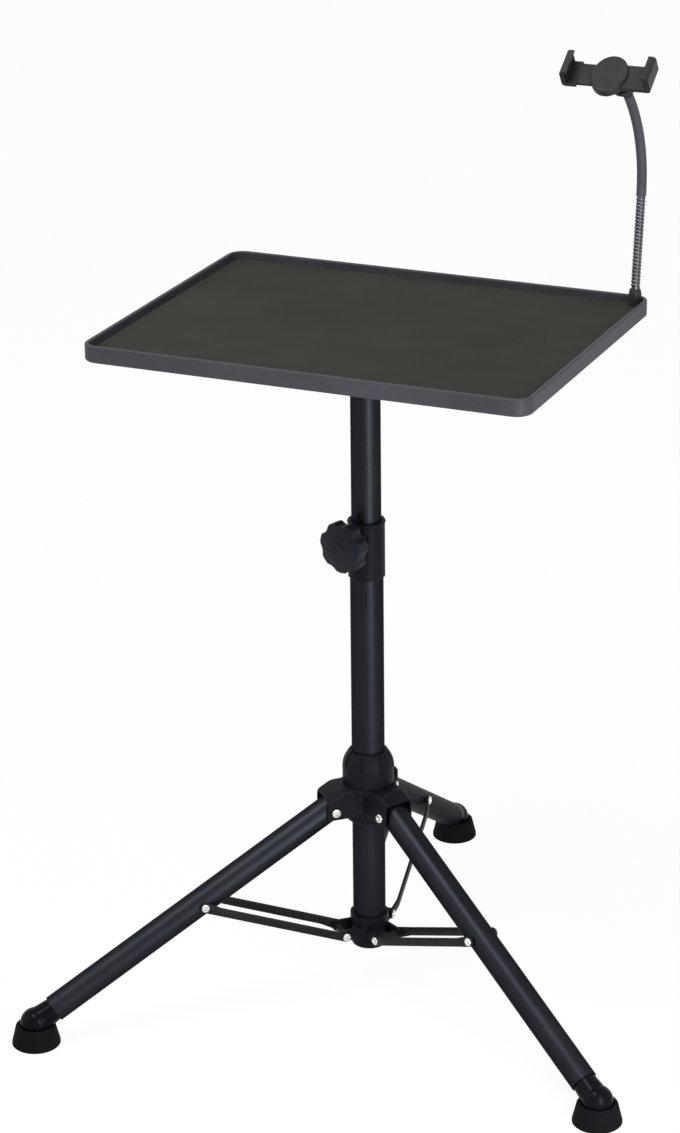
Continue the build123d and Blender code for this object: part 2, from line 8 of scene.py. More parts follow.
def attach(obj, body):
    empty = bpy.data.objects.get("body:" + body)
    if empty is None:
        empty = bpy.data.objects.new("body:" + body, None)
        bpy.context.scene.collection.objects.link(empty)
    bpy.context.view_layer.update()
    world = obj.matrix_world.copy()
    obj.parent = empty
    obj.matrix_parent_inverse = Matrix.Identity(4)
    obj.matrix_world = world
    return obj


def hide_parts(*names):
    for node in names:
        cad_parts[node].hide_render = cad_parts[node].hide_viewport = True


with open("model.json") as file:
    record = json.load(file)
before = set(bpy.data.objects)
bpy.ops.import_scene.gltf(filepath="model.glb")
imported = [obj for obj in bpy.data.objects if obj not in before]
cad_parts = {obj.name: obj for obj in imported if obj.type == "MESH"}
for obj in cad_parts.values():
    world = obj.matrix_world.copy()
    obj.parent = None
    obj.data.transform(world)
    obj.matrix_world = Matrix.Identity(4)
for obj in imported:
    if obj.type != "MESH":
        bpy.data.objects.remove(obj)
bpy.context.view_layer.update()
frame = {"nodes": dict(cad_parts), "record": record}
bpy.context.scene.view_settings.view_transform = "Standard"
print("stand loaded:", len(frame["nodes"]), "nodes")


# camera

photoCamera = {
    "place": (1.03506, -2.41313, 1.42059),
    "yaw": 23.698,
    "pitch": 21.47,
    "roll": -0.644,
    "lens": 108.203,
    "sensor": 36.0,
    "clipEnd": 50.0,
}


def addCamera(view):
    camera = bpy.data.objects.new("photoCamera", bpy.data.cameras.new("photoCamera"))
    bpy.context.scene.collection.objects.link(camera)
    camera.data.sensor_width = view["sensor"]
    camera.data.lens = view["lens"]
    camera.data.clip_end = view["clipEnd"]
    turn = Matrix.Rotation(math.radians(view["yaw"]), 4, "Z")
    turn = turn @ Matrix.Rotation(math.radians(90 - view["pitch"]), 4, "X")
    turn = turn @ Matrix.Rotation(math.radians(view["roll"]), 4, "Z")
    camera.matrix_world = Matrix.Translation(view["place"]) @ turn
    bpy.context.scene.camera = camera


addCamera(photoCamera)
print("camera set")


# studio

studio = {
    "floorColour": (0.9, 0.9, 0.9, 1),
    "floorGlow": 0.95,
    "floorRadius": 14.0,
    "floorSides": 96,
    "backdrop": 0.98,
    "ambient": 0.42,
    "aim": (0.0, 0.0, 0.42),
    "lamps": {
        "keyLamp": {"azimuth": 52, "height": 1.2, "reach": 2.0, "size": (0.5, 1.4), "power": 13.5},
        "lowLamp": {"azimuth": 50, "height": 0.3, "reach": 1.0, "size": (0.3, 0.6), "power": 6.5},
        "fillLamp": {"azimuth": -60, "height": 1.5, "reach": 2.6, "size": (1.2, 1.6), "power": 12},
        "topLamp": {"azimuth": -30, "height": 2.4, "reach": 0.95, "size": (0.6, 0.6), "power": 32},
    },
}


def seenDirectly(nodes, links):
    path = nodes.new("ShaderNodeLightPath")
    first = nodes.new("ShaderNodeMath")
    first.operation = "MAXIMUM"
    links.new(path.outputs["Is Camera Ray"], first.inputs[0])
    links.new(path.outputs["Is Glossy Ray"], first.inputs[1])
    second = nodes.new("ShaderNodeMath")
    second.operation = "MAXIMUM"
    links.new(first.outputs[0], second.inputs[0])
    links.new(path.outputs["Is Transmission Ray"], second.inputs[1])
    return second.outputs[0]


def addWorld(setup):
    world = bpy.data.worlds.new("studioWorld")
    bpy.context.scene.world = world
    world.use_nodes = True
    nodes, links = world.node_tree.nodes, world.node_tree.links
    nodes.clear()
    light = nodes.new("ShaderNodeBackground")
    light.inputs["Color"].default_value = (1, 1, 1, 1)
    light.inputs["Strength"].default_value = setup["ambient"]
    white = nodes.new("ShaderNodeBackground")
    white.inputs["Color"].default_value = (1, 1, 1, 1)
    white.inputs["Strength"].default_value = setup["backdrop"]
    blend = nodes.new("ShaderNodeMixShader")
    links.new(seenDirectly(nodes, links), blend.inputs["Fac"])
    links.new(light.outputs[0], blend.inputs[1])
    links.new(white.outputs[0], blend.inputs[2])
    out = nodes.new("ShaderNodeOutputWorld")
    links.new(blend.outputs[0], out.inputs["Surface"])


def addFloor(setup):
    bpy.ops.object.select_all(action="DESELECT")
    bpy.ops.mesh.primitive_circle_add(
        vertices=setup["floorSides"], radius=setup["floorRadius"], fill_type="NGON"
    )
    floor = bpy.context.object
    floor.name = "studioFloor"
    paper = bpy.data.materials.new("studioPaper")
    paper.use_nodes = True
    nodes, links = paper.node_tree.nodes, paper.node_tree.links
    nodes.clear()
    matte = nodes.new("ShaderNodeBsdfDiffuse")
    matte.inputs["Color"].default_value = setup["floorColour"]
    glow = nodes.new("ShaderNodeEmission")
    share = nodes.new("ShaderNodeMath")
    share.operation = "MULTIPLY"
    share.inputs[1].default_value = setup["floorGlow"]
    links.new(seenDirectly(nodes, links), share.inputs[0])
    blend = nodes.new("ShaderNodeMixShader")
    links.new(share.outputs[0], blend.inputs["Fac"])
    links.new(matte.outputs[0], blend.inputs[1])
    links.new(glow.outputs[0], blend.inputs[2])
    below = nodes.new("ShaderNodeMixShader")  # clear from below, so the underside can be seen
    links.new(nodes.new("ShaderNodeNewGeometry").outputs["Backfacing"], below.inputs["Fac"])
    links.new(blend.outputs[0], below.inputs[1])
    links.new(nodes.new("ShaderNodeBsdfTransparent").outputs[0], below.inputs[2])
    out = nodes.new("ShaderNodeOutputMaterial")
    links.new(below.outputs[0], out.inputs["Surface"])
    floor.data.materials.append(paper)


def addLamp(name, lamp, aim):
    data = bpy.data.lights.new(name, "AREA")
    data.shape = "RECTANGLE"
    data.size, data.size_y = lamp["size"]
    data.energy = lamp["power"]
    holder = bpy.data.objects.new(name, data)
    bpy.context.scene.collection.objects.link(holder)
    turn = math.radians(lamp["azimuth"])
    reach = lamp["reach"]
    place = Vector((reach * math.sin(turn), -reach * math.cos(turn), lamp["height"]))
    facing = (place - Vector(aim)).to_track_quat("Z", "Y").to_matrix().to_4x4()
    holder.matrix_world = Matrix.Translation(place) @ facing


addWorld(studio)
addFloor(studio)
for name, lamp in studio["lamps"].items():
    addLamp(name, lamp, studio["aim"])
print("studio lit")


# shared effects

def newGroup(name, inputs, outputs):
    group = bpy.data.node_groups.new(name, "ShaderNodeTree")
    for label, kind, value in inputs:
        socket = group.interface.new_socket(label, in_out="INPUT", socket_type=kind)
        if value is not None:
            socket.default_value = value
    for label, kind in outputs:
        group.interface.new_socket(label, in_out="OUTPUT", socket_type=kind)
    start = group.nodes.new("NodeGroupInput")
    end = group.nodes.new("NodeGroupOutput")
    return group, start, end


def mathNode(tree, operation, first, second):
    node = tree.nodes.new("ShaderNodeMath")
    node.operation = operation
    for place, value in enumerate((first, second)):
        if isinstance(value, (int, float)):
            node.inputs[place].default_value = value
        else:
            tree.links.new(value, node.inputs[place])
    return node.outputs[0]


def rangeNode(tree, value, low, high, toLow, toHigh):
    node = tree.nodes.new("ShaderNodeMapRange")
    tree.links.new(value, node.inputs["Value"])
    for label, number in (("From Min", low), ("From Max", high), ("To Min", toLow), ("To Max", toHigh)):
        node.inputs[label].default_value = number
    return node.outputs[0]


def noiseNode(tree, vector, scale, detail):
    node = tree.nodes.new("ShaderNodeTexNoise")
    node.inputs["Detail"].default_value = detail
    tree.links.new(vector, node.inputs["Vector"])
    if isinstance(scale, (int, float)):
        node.inputs["Scale"].default_value = scale
    else:
        tree.links.new(scale, node.inputs["Scale"])
    return node.outputs[0]


# fine moulded grain: pebbles mixed with soft noise
mouldGrain = {"scale": 900.0, "pebble": 0.5, "softDetail": 3, "shadeScale": 0.012, "shadeDetail": 4}


def makeGrain(grain):
    group, start, end = newGroup(
        "mouldGrain",
        [
            ("Vector", "NodeSocketVector", None),
            ("Scale", "NodeSocketFloat", grain["scale"]),
            ("Pebble", "NodeSocketFloat", grain["pebble"]),
        ],
        [("Height", "NodeSocketFloat"), ("Shade", "NodeSocketFloat")],
    )
    soft = noiseNode(group, start.outputs["Vector"], start.outputs["Scale"], grain["softDetail"])
    cells = group.nodes.new("ShaderNodeTexVoronoi")
    cells.feature = "SMOOTH_F1"
    group.links.new(start.outputs["Vector"], cells.inputs["Vector"])
    group.links.new(start.outputs["Scale"], cells.inputs["Scale"])
    dome = mathNode(group, "SUBTRACT", 1.0, cells.outputs["Distance"])
    pebbles = mathNode(group, "MULTIPLY", dome, start.outputs["Pebble"])
    rest = mathNode(group, "SUBTRACT", 1.0, start.outputs["Pebble"])
    height = mathNode(group, "ADD", pebbles, mathNode(group, "MULTIPLY", soft, rest))
    group.links.new(height, end.inputs["Height"])
    wide = mathNode(group, "MULTIPLY", start.outputs["Scale"], grain["shadeScale"])
    shade = noiseNode(group, start.outputs["Vector"], wide, grain["shadeDetail"])
    group.links.new(shade, end.inputs["Shade"])
    return group


# short hairline rubs, broken up by a slow noise
hairScuffs = {
    "scale": 60.0,
    "amount": 0.3,
    "turn": (0.5, 0.35, 0.2),
    "stretch": (1.0, 9.0, 0.8),
    "detail": 2,
    "hairWidth": 0.012,
    "patchScale": 0.4,
    "patch": (0.52, 0.66),
}


def makeScuffs(scuff):
    group, start, end = newGroup(
        "hairScuffs",
        [
            ("Vector", "NodeSocketVector", None),
            ("Scale", "NodeSocketFloat", scuff["scale"]),
            ("Amount", "NodeSocketFloat", scuff["amount"]),
        ],
        [("Mask", "NodeSocketFloat")],
    )
    stretch = group.nodes.new("ShaderNodeMapping")
    stretch.inputs["Rotation"].default_value = scuff["turn"]
    stretch.inputs["Scale"].default_value = scuff["stretch"]
    group.links.new(start.outputs["Vector"], stretch.inputs["Vector"])
    lines = noiseNode(group, stretch.outputs[0], start.outputs["Scale"], scuff["detail"])
    fromLine = mathNode(group, "ABSOLUTE", mathNode(group, "SUBTRACT", lines, 0.5), 0)
    hair = rangeNode(group, fromLine, 0.0, scuff["hairWidth"], 1.0, 0.0)
    slow = mathNode(group, "MULTIPLY", start.outputs["Scale"], scuff["patchScale"])
    where = noiseNode(group, start.outputs["Vector"], slow, scuff["detail"])
    patch = rangeNode(group, where, *scuff["patch"], 0.0, 1.0)
    rubbed = mathNode(group, "MULTIPLY", hair, patch)
    mask = mathNode(group, "MULTIPLY", rubbed, start.outputs["Amount"])
    group.links.new(mask, end.inputs["Mask"])
    return group


# thin film on faces that look up
settledDust = {
    "colour": (0.16, 0.16, 0.165, 1),
    "amount": 0.2,
    "slope": (0.3, 1.0),
    "cloudScale": 35.0,
    "cloudDetail": 6,
    "cloud": (0.4, 0.7),
    "thinnest": 0.2,
}


def makeDust(film):
    group, start, end = newGroup(
        "settledDust",
        [("Vector", "NodeSocketVector", None), ("Amount", "NodeSocketFloat", film["amount"])],
        [("Mask", "NodeSocketFloat")],
    )
    surface = group.nodes.new("ShaderNodeNewGeometry")
    split = group.nodes.new("ShaderNodeSeparateXYZ")
    group.links.new(surface.outputs["Normal"], split.inputs[0])
    upward = rangeNode(group, split.outputs["Z"], *film["slope"], 0.0, 1.0)
    drift = noiseNode(group, start.outputs["Vector"], film["cloudScale"], film["cloudDetail"])
    cloud = rangeNode(group, drift, *film["cloud"], film["thinnest"], 1.0)
    settled = mathNode(group, "MULTIPLY", upward, cloud)
    mask = mathNode(group, "MULTIPLY", settled, start.outputs["Amount"])
    group.links.new(mask, end.inputs["Mask"])
    return group


grainGroup = makeGrain(mouldGrain)
scuffGroup = makeScuffs(hairScuffs)
dustGroup = makeDust(settledDust)
print("shared effects ready")


# finishes

finishMix = {"tone": (0.35, 0.65), "polish": (0.3, 0.7), "scuffScale": 70.0}


def placeGroup(tree, group, vector, values):
    node = tree.nodes.new("ShaderNodeGroup")
    node.node_tree = group
    tree.links.new(vector, node.inputs["Vector"])
    for label, value in values.items():
        node.inputs[label].default_value = value
    return node


def mixColours(tree, mask, first, second):
    node = tree.nodes.new("ShaderNodeMix")
    node.data_type = "RGBA"
    tree.links.new(mask, node.inputs["Factor"])
    for label, value in (("A", first), ("B", second)):
        socket = [s for s in node.inputs if s.name == label and s.type == "RGBA"][0]
        if isinstance(value, tuple):
            socket.default_value = value
        else:
            tree.links.new(value, socket)
    return [s for s in node.outputs if s.type == "RGBA"][0]


def finishMaterial(name, look):
    material = bpy.data.materials.new(name)
    material.use_nodes = True
    tree = material.node_tree
    shader = tree.nodes["Principled BSDF"]
    place = tree.nodes.new("ShaderNodeTexCoord").outputs["Object"]
    grain = placeGroup(tree, grainGroup, place, {"Scale": look["grain"], "Pebble": look["pebble"]})
    hairScale = look.get("scuffScale", finishMix["scuffScale"])
    scuffs = placeGroup(tree, scuffGroup, place, {"Scale": hairScale, "Amount": look["scuffs"]})
    dust = placeGroup(tree, dustGroup, place, {"Amount": look["dust"]})
    tone = rangeNode(tree, grain.outputs["Shade"], *finishMix["tone"], 0.0, 1.0)
    colour = mixColours(tree, tone, look["dark"], look["pale"])
    colour = mixColours(tree, scuffs.outputs["Mask"], colour, look["rubbed"])
    colour = mixColours(tree, dust.outputs["Mask"], colour, settledDust["colour"])
    tree.links.new(colour, shader.inputs["Base Color"])
    polish = rangeNode(tree, grain.outputs["Shade"], *finishMix["polish"], *look["roughness"])
    rough = mathNode(tree, "ADD", polish, dust.outputs["Mask"])
    tree.links.new(rough, shader.inputs["Roughness"])
    shader.inputs["Metallic"].default_value = look.get("metallic", 0.0)
    shader.inputs["Specular IOR Level"].default_value = look["specular"]
    shader.inputs["Specular Tint"].default_value = look.get("edge", (1, 1, 1, 1))
    bump = tree.nodes.new("ShaderNodeBump")
    bump.inputs["Strength"].default_value = look["bump"]
    bump.inputs["Distance"].default_value = look["depth"]
    tree.links.new(grain.outputs["Height"], bump.inputs["Height"])
    tree.links.new(bump.outputs["Normal"], shader.inputs["Normal"])
    return material


finishes = {
    "tube_paint": {
        "dark": (0.0165, 0.0175, 0.0225, 1), "pale": (0.02, 0.0213, 0.0265, 1),
        "rubbed": (0.03, 0.031, 0.035, 1),
        "roughness": (0.4, 0.46), "grain": 1500.0, "pebble": 0.3, "bump": 0.12, "depth": 0.0001,
        "scuffs": 0.25, "dust": 0.02, "metallic": 1.0, "specular": 0.09,
        "edge": (0.46, 0.46, 0.46, 1),
    },
    "bar_paint": {
        "dark": (0.007, 0.0075, 0.009, 1), "pale": (0.011, 0.0115, 0.013, 1),
        "rubbed": (0.05, 0.05, 0.052, 1),
        "roughness": (0.4, 0.5), "grain": 1300.0, "pebble": 0.3, "bump": 0.15, "depth": 0.0001,
        "scuffs": 0.4, "dust": 0.03, "specular": 0.08,
    },
    "moulded_plastic": {
        "dark": (0.004, 0.0048, 0.007, 1), "pale": (0.006, 0.0068, 0.0095, 1),
        "rubbed": (0.03, 0.03, 0.033, 1),
        "roughness": (0.42, 0.52), "grain": 1900.0, "pebble": 0.6, "bump": 0.25, "depth": 0.00012,
        "scuffs": 0.3, "dust": 0.02, "specular": 0.06,
    },
    "knob_plastic": {
        "dark": (0.0075, 0.009, 0.014, 1), "pale": (0.0105, 0.012, 0.017, 1),
        "rubbed": (0.04, 0.04, 0.045, 1),
        "roughness": (0.4, 0.5), "grain": 2200.0, "pebble": 0.7, "bump": 0.3, "depth": 0.00012,
        "scuffs": 0.3, "dust": 0.02, "specular": 0.1,
    },
    "ankle_plastic": {
        "dark": (0.0022, 0.0026, 0.004, 1), "pale": (0.0035, 0.004, 0.0055, 1),
        "rubbed": (0.02, 0.02, 0.022, 1),
        "roughness": (0.2, 0.28), "grain": 900.0, "pebble": 0.2, "bump": 0.06, "depth": 0.0001,
        "scuffs": 0.3, "dust": 0.002, "specular": 0.045,
    },
    "foot_rubber": {
        "dark": (0.0045, 0.0045, 0.0058, 1), "pale": (0.0065, 0.0065, 0.008, 1),
        "rubbed": (0.03, 0.03, 0.031, 1),
        "roughness": (0.62, 0.78), "grain": 700.0, "pebble": 0.5, "bump": 0.3, "depth": 0.00015,
        "scuffs": 0.35, "dust": 0.02, "specular": 0.03,
    },
    "tray_plastic": {
        "dark": (0.036, 0.038, 0.045, 1), "pale": (0.0445, 0.0465, 0.0555, 1),
        "rubbed": (0.09, 0.09, 0.1, 1),
        "roughness": (0.42, 0.52), "grain": 1600.0, "pebble": 0.6, "bump": 0.22, "depth": 0.00012,
        "scuffs": 0.2, "dust": 0.02, "specular": 0.12,
    },
    "mat_rubber": {
        "dark": (0.028, 0.0285, 0.0245, 1), "pale": (0.037, 0.0375, 0.033, 1),
        "rubbed": (0.06, 0.06, 0.055, 1),
        "roughness": (0.78, 0.9), "grain": 620.0, "pebble": 0.85, "bump": 0.5, "depth": 0.0003,
        "scuffs": 0.15, "dust": 0.03, "specular": 0.04,
    },
    "neck_metal": {
        "dark": (0.07, 0.072, 0.08, 1), "pale": (0.1, 0.102, 0.11, 1),
        "rubbed": (0.35, 0.35, 0.36, 1),
        "roughness": (0.2, 0.28), "grain": 1400.0, "pebble": 0.3, "bump": 0.1, "depth": 0.0001,
        "scuffs": 0.3, "dust": 0.0, "metallic": 0.75, "specular": 0.5,
    },
    "neck_sleeve": {
        "dark": (0.052, 0.054, 0.064, 1), "pale": (0.066, 0.068, 0.079, 1),
        "rubbed": (0.1, 0.1, 0.11, 1),
        "roughness": (0.48, 0.58), "grain": 1400.0, "pebble": 0.4, "bump": 0.15, "depth": 0.0001,
        "scuffs": 0.2, "dust": 0.01, "specular": 0.15,
    },
    "holder_plastic": {
        "dark": (0.018, 0.0185, 0.02, 1), "pale": (0.026, 0.0265, 0.028, 1),
        "rubbed": (0.06, 0.06, 0.062, 1),
        "roughness": (0.4, 0.5), "grain": 1900.0, "pebble": 0.6, "bump": 0.25, "depth": 0.00012,
        "scuffs": 0.25, "dust": 0.02, "specular": 0.15,
    },
    "pad_rubber": {
        "dark": (0.009, 0.009, 0.0095, 1), "pale": (0.013, 0.013, 0.0135, 1),
        "rubbed": (0.03, 0.03, 0.031, 1),
        "roughness": (0.7, 0.82), "grain": 900.0, "pebble": 0.5, "bump": 0.3, "depth": 0.00015,
        "scuffs": 0.2, "dust": 0.02, "specular": 0.06,
    },
    "rivet_steel": {
        "dark": (0.6, 0.6, 0.6, 1), "pale": (0.74, 0.74, 0.73, 1),
        "rubbed": (0.5, 0.5, 0.5, 1),
        "roughness": (0.2, 0.34), "grain": 2400.0, "pebble": 0.2, "bump": 0.08, "depth": 0.00006,
        "scuffs": 0.5, "scuffScale": 400.0, "dust": 0.0, "metallic": 1.0, "specular": 0.5,
    },
    "screw_steel": {
        "dark": (0.45, 0.45, 0.45, 1), "pale": (0.58, 0.58, 0.57, 1),
        "rubbed": (0.4, 0.4, 0.4, 1),
        "roughness": (0.28, 0.4), "grain": 2400.0, "pebble": 0.2, "bump": 0.08, "depth": 0.00006,
        "scuffs": 0.5, "scuffScale": 400.0, "dust": 0.0, "metallic": 1.0, "specular": 0.5,
    },
}

materials = {}
for slotName, look in finishes.items():
    materials[slotName] = finishMaterial(slotName, look)
for part in frame["record"]["subparts"]:
    piece = frame["nodes"][part["node"]]
    piece.data.materials.clear()
    piece.data.materials.append(materials[part["material_slot"]])
print("finishes on all nodes")


# modelling helpers

def pick(piece):
    bpy.ops.object.select_all(action="DESELECT")
    piece.select_set(True)
    bpy.context.view_layer.objects.active = piece


def settle(piece, place=None):  # place, turn and scale go into the mesh
    if place is not None:
        piece.matrix_world = place @ piece.matrix_world
    pick(piece)
    bpy.ops.object.transform_apply(location=True, rotation=True, scale=True)


def useModifier(piece, kind, settings):
    pick(piece)
    modifier = piece.modifiers.new(kind.lower(), kind)
    for label, value in settings.items():
        setattr(modifier, label, value)
    bpy.ops.object.modifier_apply(modifier=modifier.name)


def cutWith(piece, cutter, operation):
    useModifier(piece, "BOOLEAN", {"operation": operation, "object": cutter, "solver": "EXACT"})
    bpy.data.objects.remove(cutter, do_unlink=True)


def anyFace(centre, normal):
    return True


def noFace(centre, normal):
    return False


def facesUp(centre, normal):
    return normal.z > 0.9


def facesDown(centre, normal):
    return normal.z < -0.9


def selectFaces(piece, test):  # leaves edit mode on, with the faces that pass the test
    pick(piece)
    bpy.ops.object.mode_set(mode="EDIT")
    bpy.ops.mesh.select_mode(type="FACE")
    bpy.ops.mesh.select_all(action="DESELECT")
    bpy.ops.object.mode_set(mode="OBJECT")
    for face in piece.data.polygons:
        face.select = test(face.center, face.normal)
    bpy.ops.object.mode_set(mode="EDIT")


def selectEdges(piece, test):  # leaves edit mode on, with the edges whose two ends pass the test
    selectFaces(piece, noFace)
    bpy.ops.mesh.select_mode(type="EDGE")
    bpy.ops.object.mode_set(mode="OBJECT")
    corners = piece.data.vertices
    for edge in piece.data.edges:
        first, second = edge.vertices
        edge.select = test(corners[first].co, corners[second].co)
    bpy.ops.object.mode_set(mode="EDIT")


def roundEdges(piece, width, steps=2):
    useModifier(piece, "BEVEL", {"width": width, "segments": steps, "limit_method": "ANGLE"})


def soften(piece, voxel, rounds, keep):  # evens the mesh, rounds its edges and thins it again
    useModifier(piece, "REMESH", {"mode": "VOXEL", "voxel_size": voxel})
    useModifier(piece, "SMOOTH", {"factor": 0.5, "iterations": rounds})
    useModifier(piece, "DECIMATE", {"ratio": keep})


def leaveEdit(merge=0.000001):  # closes seams and turns the faces outwards
    bpy.ops.mesh.select_all(action="SELECT")
    bpy.ops.mesh.remove_doubles(threshold=merge)
    bpy.ops.mesh.normals_make_consistent(inside=False)
    bpy.ops.object.mode_set(mode="OBJECT")


def joinTo(piece, others):
    pick(piece)
    for other in others:
        other.select_set(True)
    bpy.ops.object.join()


def copyOf(piece, name):
    twin = bpy.data.objects.new(name, piece.data.copy())
    bpy.context.scene.collection.objects.link(twin)
    return twin


def mergedCopy(node, name, weld=0.00001):  # a node's loose triangles as one mesh
    twin = copyOf(frame["nodes"][node], name)
    selectFaces(twin, anyFace)
    leaveEdit(weld)
    bpy.ops.mesh.customdata_custom_splitnormals_clear()
    return twin


def handOver(piece, name, body, slotName, angle=35):  # smooth, dressed and riding on its body
    piece.name = name
    piece.data.name = name
    pick(piece)
    bpy.ops.object.shade_smooth_by_angle(angle=math.radians(angle))
    piece.data.materials.clear()
    piece.data.materials.append(materials[slotName])
    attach(piece, body)


# wound wire of the neck

neckCoil = {
    "foot": (0.179021, 0.1476, 0.6055),
    "along": (0.014531, 0.082407, 0.996493),
    "length": 0.0775,
    "turns": 25,
    "coilRadius": 0.00235,
    "wireRadius": 0.0016,
    "coreRadius": 0.0033,
    "wireSides": 10,
    "coreSides": 20,
    "turnSteps": 20,
    "smooth": 50,
}


def makeNeckCoil(coil):
    wire = coil["wireRadius"]
    pitch = (coil["length"] - 2 * wire) / coil["turns"]
    bpy.ops.object.select_all(action="DESELECT")
    bpy.ops.mesh.primitive_circle_add(
        vertices=coil["wireSides"], radius=wire, location=(coil["coilRadius"], 0, wire),
        rotation=(math.pi / 2, 0, 0),
    )
    winding = bpy.context.object
    settle(winding)
    useModifier(winding, "SCREW", {
        "angle": 2 * math.pi, "screw_offset": pitch, "iterations": coil["turns"],
        "steps": coil["turnSteps"], "render_steps": coil["turnSteps"], "use_normal_calculate": True,
    })
    selectFaces(winding, noFace)
    bpy.ops.mesh.select_all(action="SELECT")
    bpy.ops.mesh.fill_holes(sides=0)
    leaveEdit()
    bpy.ops.object.select_all(action="DESELECT")
    bpy.ops.mesh.primitive_cylinder_add(
        vertices=coil["coreSides"], radius=coil["coreRadius"], depth=coil["length"],
        location=(0, 0, coil["length"] / 2),
    )
    core = bpy.context.object
    settle(core)
    joinTo(winding, [core])
    lean = Vector((0, 0, 1)).rotation_difference(Vector(coil["along"])).to_matrix().to_4x4()
    settle(winding, Matrix.Translation(coil["foot"]) @ lean)
    handOver(winding, "neckCoil", "mast", "neck_metal", coil["smooth"])
    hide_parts("neck_ribbed")


makeNeckCoil(neckCoil)
print("neck wound")


# clamp sleeve with its rolled rim and slit

clampSleeve = {
    "rimHeight": 0.4283,
    "rimRadius": 0.0147,
    "rimThickness": 0.0013,
    "flareFoot": 0.4238,
    "flareHeight": 0.008,
    "flareRadius": 0.02,
    "slitAzimuth": -65.0,
    "slitTop": 0.4265,
    "slitSize": (0.0022, 0.006, 0.0135),
    "slitNarrowing": 0.45,
    "surfaceRadius": 0.0154,
    "coreStretch": 1.5,
    "sides": 96,
    "rimSides": 16,
    "sliver": 0.00002,
}


def makeClampSleeve(sleeve):
    piece = mergedCopy("clamp_collar", "clampSleeve")
    middle = sleeve["flareFoot"] + sleeve["flareHeight"] / 2
    rings = []
    outer = (sleeve["flareRadius"], 1)
    core = (sleeve["surfaceRadius"], sleeve["coreStretch"])
    for radius, stretch in (outer, core):
        bpy.ops.object.select_all(action="DESELECT")
        bpy.ops.mesh.primitive_cylinder_add(
            vertices=sleeve["sides"], radius=radius, depth=stretch * sleeve["flareHeight"],
            location=(0, 0, middle),
        )
        rings.append(bpy.context.object)
        settle(rings[-1])
    cutWith(rings[0], rings[1], "DIFFERENCE")
    cutWith(piece, rings[0], "DIFFERENCE")
    bpy.ops.object.select_all(action="DESELECT")
    bpy.ops.mesh.primitive_torus_add(
        major_segments=sleeve["sides"], minor_segments=sleeve["rimSides"],
        major_radius=sleeve["rimRadius"], minor_radius=sleeve["rimThickness"],
        location=(0, 0, sleeve["rimHeight"]),
    )
    rim = bpy.context.object
    settle(rim)
    cutWith(piece, rim, "UNION")
    width, depth, height = sleeve["slitSize"]
    bpy.ops.object.select_all(action="DESELECT")
    bpy.ops.mesh.primitive_cube_add(size=1, location=(0, 0, -height / 2), scale=(width, depth, height))
    slit = bpy.context.object
    settle(slit)
    selectFaces(slit, facesDown)
    bpy.ops.transform.resize(value=(sleeve["slitNarrowing"], 1, 1))
    leaveEdit()
    turn = Matrix.Rotation(math.radians(sleeve["slitAzimuth"] + 90), 4, "Z")
    settle(slit, turn @ Matrix.Translation((0, -sleeve["surfaceRadius"], sleeve["slitTop"])))
    cutWith(piece, slit, "DIFFERENCE")
    selectFaces(piece, anyFace)
    leaveEdit(sleeve["sliver"])  # takes out what the cuts left
    handOver(piece, "clampSleeve", "base", "moulded_plastic")
    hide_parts("clamp_collar")


makeClampSleeve(clampSleeve)
print("clamp sleeve cut")


# clamp knob with rounded lobes, and the dished cap in its middle

knobShell = {"voxel": 0.0005, "rounds": 10, "keep": 0.5, "smooth": 50}


def makeKnobShell(shell):
    piece = mergedCopy("clamp_knob", "knobShell")
    soften(piece, shell["voxel"], shell["rounds"], shell["keep"])
    handOver(piece, "knobShell", "clamp_knob", "knob_plastic", shell["smooth"])
    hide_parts("clamp_knob")


makeKnobShell(knobShell)
print("knob softened")


knobCap = {
    "axisPoint": (0, 0, 0.4142),
    "azimuth": -105.0,
    "faceReach": 0.0389,
    "radius": 0.0062,
    "height": 0.0012,
    "rim": 0.0011,
    "dish": 0.0008,
    "edge": 0.0003,
    "edgeSteps": 3,
    "sides": 40,
}


def makeKnobCap(cap):
    bpy.ops.object.select_all(action="DESELECT")
    bpy.ops.mesh.primitive_cylinder_add(
        vertices=cap["sides"], radius=cap["radius"], depth=cap["height"]
    )
    piece = bpy.context.object
    selectFaces(piece, facesUp)
    bpy.ops.mesh.inset(thickness=cap["rim"])
    for step in range(2):
        bpy.ops.mesh.inset(thickness=cap["rim"], depth=-cap["dish"] / 2)
    leaveEdit()
    roundEdges(piece, cap["edge"], cap["edgeSteps"])
    turn = Matrix.Rotation(math.radians(cap["azimuth"]), 4, "Z") @ Matrix.Rotation(math.pi / 2, 4, "Y")
    outward = turn @ Matrix.Translation((0, 0, cap["faceReach"]))
    settle(piece, Matrix.Translation(cap["axisPoint"]) @ outward)
    handOver(piece, "knobCap", "clamp_knob", "knob_plastic")


makeKnobCap(knobCap)
print("knob capped")


# hub with the soft edges of a moulding

hubShell = {"voxel": 0.0007, "rounds": 36, "keep": 0.4, "smooth": 50}


def makeHubShell(shell):
    piece = mergedCopy("hub", "hubShell")
    soften(piece, shell["voxel"], shell["rounds"], shell["keep"])
    handOver(piece, "hubShell", "hub", "moulded_plastic", shell["smooth"])
    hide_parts("hub")


makeHubShell(hubShell)
print("hub softened")


# pieces made once in the upright plane of a leg and copied round the column

tripod = {
    "azimuths": {"left": -136.5, "right": -29.5, "back": 97.5},
    "legAngle": 59.8,
    "ball": (0.299906, 0.0195),
    "collarPivot": (0.02605, 0.0545),
    "legPivot": (0.15199, 0.105589),
    "hubPivot": (0.034448, 0.174),
}


